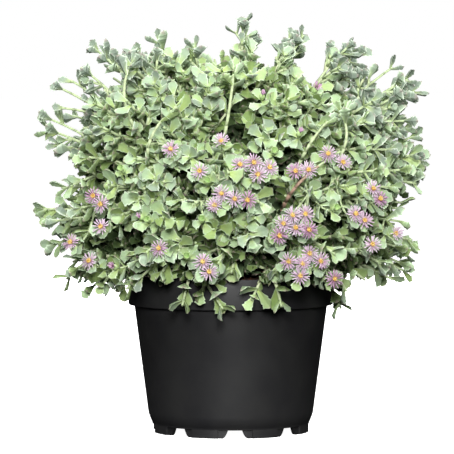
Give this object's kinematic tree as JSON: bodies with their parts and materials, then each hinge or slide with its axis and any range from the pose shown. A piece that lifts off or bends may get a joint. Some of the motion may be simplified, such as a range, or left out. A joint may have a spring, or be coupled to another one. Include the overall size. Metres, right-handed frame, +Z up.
{
  "type": "potted ice plant",
  "caption": "Bushy succulent with three-sided grey-green leaves and lilac daisy flowers, growing in a round black nursery pot.",
  "frame": {"origin": "on the floor under the centre of the pot, which is also the centre of the bush to within 1 mm", "axes": "+Z up, -Y towards the side that the picture shows, +X to the right in that view"},
  "size_m": [0.3748, 0.3448, 0.3892],
  "materials": {
    "pot": "satin black moulded plastic",
    "soil": "loose coarse brown compost",
    "leaf": "fleshy grey-green leaf with a pale waxy bloom",
    "flower": "soft lilac petal"
  },
  "bodies": {
    "root": {"pot": "pot", "soil": "soil", "stem_top_middle": "leaf", "stem_top_right": "leaf", "stem_top_left": "leaf", "stem_crown_right": "leaf", "stem_crown_left": "leaf", "stem_shoulder_right": "leaf", "stem_shoulder_left": "leaf", "stem_upper_front_right": "leaf", "stem_upper_right_front": "leaf", "stem_upper_right_back": "leaf", "stem_upper_back_right": "leaf", "stem_upper_back_left": "leaf", "stem_upper_left_back": "leaf", "stem_upper_left_front": "leaf", "stem_upper_front_left": "leaf", "stem_middle_front": "leaf", "stem_middle_front_right": "leaf", "stem_middle_right": "leaf", "stem_middle_back_right": "leaf", "stem_middle_back": "leaf", "stem_middle_back_left": "leaf", "stem_middle_left": "leaf", "stem_middle_front_left": "leaf", "stem_lower_front": "leaf", "stem_lower_front_right": "leaf", "stem_lower_right_front": "leaf", "stem_lower_right": "leaf", "stem_lower_right_back": "leaf", "stem_lower_back": "leaf", "stem_lower_left": "leaf", "stem_lower_left_front": "leaf", "stem_lower_front_left": "leaf", "stem_trail_left": "leaf", "stem_trail_right": "leaf", "bloom_upper_cluster": "flower", "bloom_upper_pair": "flower", "bloom_middle_cluster": "flower", "bloom_right_cluster": "flower", "bloom_lower_cluster": "flower", "bloom_low_pair": "flower", "bloom_side_pair": "flower", "bloom_far_right_pair": "flower", "bloom_left_pair": "flower", "bloom_high_left": "flower", "bloom_high_middle": "flower", "bloom_middle_left": "flower", "bloom_high_right": "flower", "bloom_right_of_middle": "flower", "bloom_right_under": "flower", "bloom_right_edge": "flower", "bloom_rim_right": "flower", "bloom_lower_left": "flower", "bloom_left_open": "flower", "bloom_left_edge": "flower", "bloom_left_under": "flower", "bloom_back_upper": "flower", "bloom_back_right": "flower", "bloom_back_left": "flower"}
  },
  "joints": []
}
